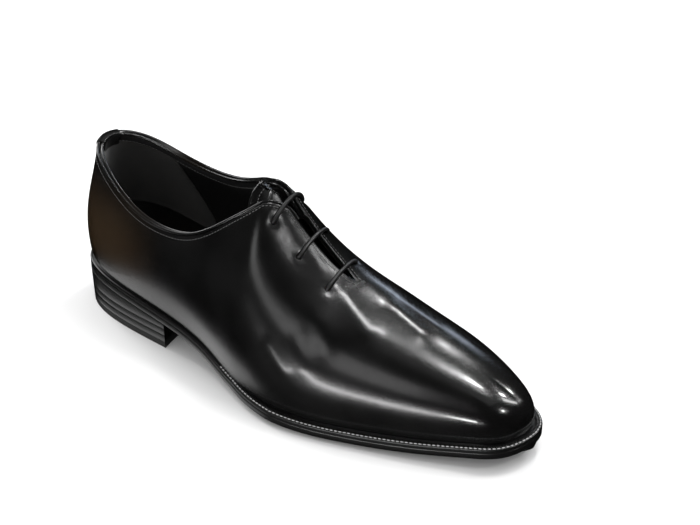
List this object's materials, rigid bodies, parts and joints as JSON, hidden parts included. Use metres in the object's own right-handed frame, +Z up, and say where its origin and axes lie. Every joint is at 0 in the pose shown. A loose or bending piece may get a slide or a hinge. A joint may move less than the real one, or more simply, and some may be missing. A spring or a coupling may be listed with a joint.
{
  "type": "leather oxford shoe",
  "caption": "Black leather oxford shoe of one-piece pattern with a laced slit, bound topline, welted leather sole and stacked heel.",
  "frame": {"origin": "centre of the shoe's bounding box, on the ground it stands on", "axes": "+X towards the toe, +Y towards the inner (medial) side of this right shoe, +Z up"},
  "size_m": [0.3044, 0.1076, 0.1128],
  "materials": {
    "black_calf": "polished box calf, high gloss, faint creases",
    "black_lining": "smooth black calf lining, satin",
    "grip_suede": "black suede, matt nap",
    "stiffener": "vegetable tanned leather board, matt",
    "sole_leather": "black stained and burnished sole leather",
    "heel_rubber": "matt black heel rubber",
    "cork": "ground cork and resin",
    "shank_steel": "tempered steel strip",
    "brass": "brass, unpolished",
    "waxed_lace": "round waxed cotton cord, braided",
    "aglet": "black film tip"
  },
  "bodies": {
    "shoe": {"upper_wholecut": "black_calf", "heel_tab": "black_calf", "topline_binding": "black_calf", "slit_bar_tack": "black_calf", "lining_vamp": "black_lining", "lining_quarter_outer": "black_lining", "lining_quarter_inner": "black_lining", "sock_liner": "black_lining", "heel_grip": "grip_suede", "heel_counter": "stiffener", "toe_puff": "stiffener", "facing_stay_outer": "stiffener", "facing_stay_inner": "stiffener", "insole": "stiffener", "insole_rib": "stiffener", "welt": "sole_leather", "heel_rand": "sole_leather", "outsole": "sole_leather", "heel_lift_1": "sole_leather", "heel_lift_2": "sole_leather", "heel_seat_lift": "sole_leather", "top_lift": "heel_rubber", "cork_filler": "cork", "shank": "shank_steel", "blind_eyelet_outer_1": "brass", "blind_eyelet_outer_2": "brass", "blind_eyelet_outer_3": "brass", "blind_eyelet_inner_1": "brass", "blind_eyelet_inner_2": "brass", "blind_eyelet_inner_3": "brass", "heel_nail_1": "brass", "heel_nail_2": "brass", "heel_nail_3": "brass", "heel_nail_4": "brass", "heel_nail_5": "brass", "heel_nail_6": "brass", "lace": "waxed_lace", "lace_end_outer": "waxed_lace", "lace_end_inner": "waxed_lace", "aglet_outer": "aglet", "aglet_inner": "aglet"},
    "tongue": {"tongue": "black_calf", "tongue_lining": "black_lining"}
  },
  "joints": [
    {"name": "tongue_fold", "type": "hinge", "parent": "shoe", "child": "tongue", "pos_m": [0.04416, 0.00697, 0.0615], "axis": [0, 1, 0], "range_deg": [-10, 0]}
  ]
}
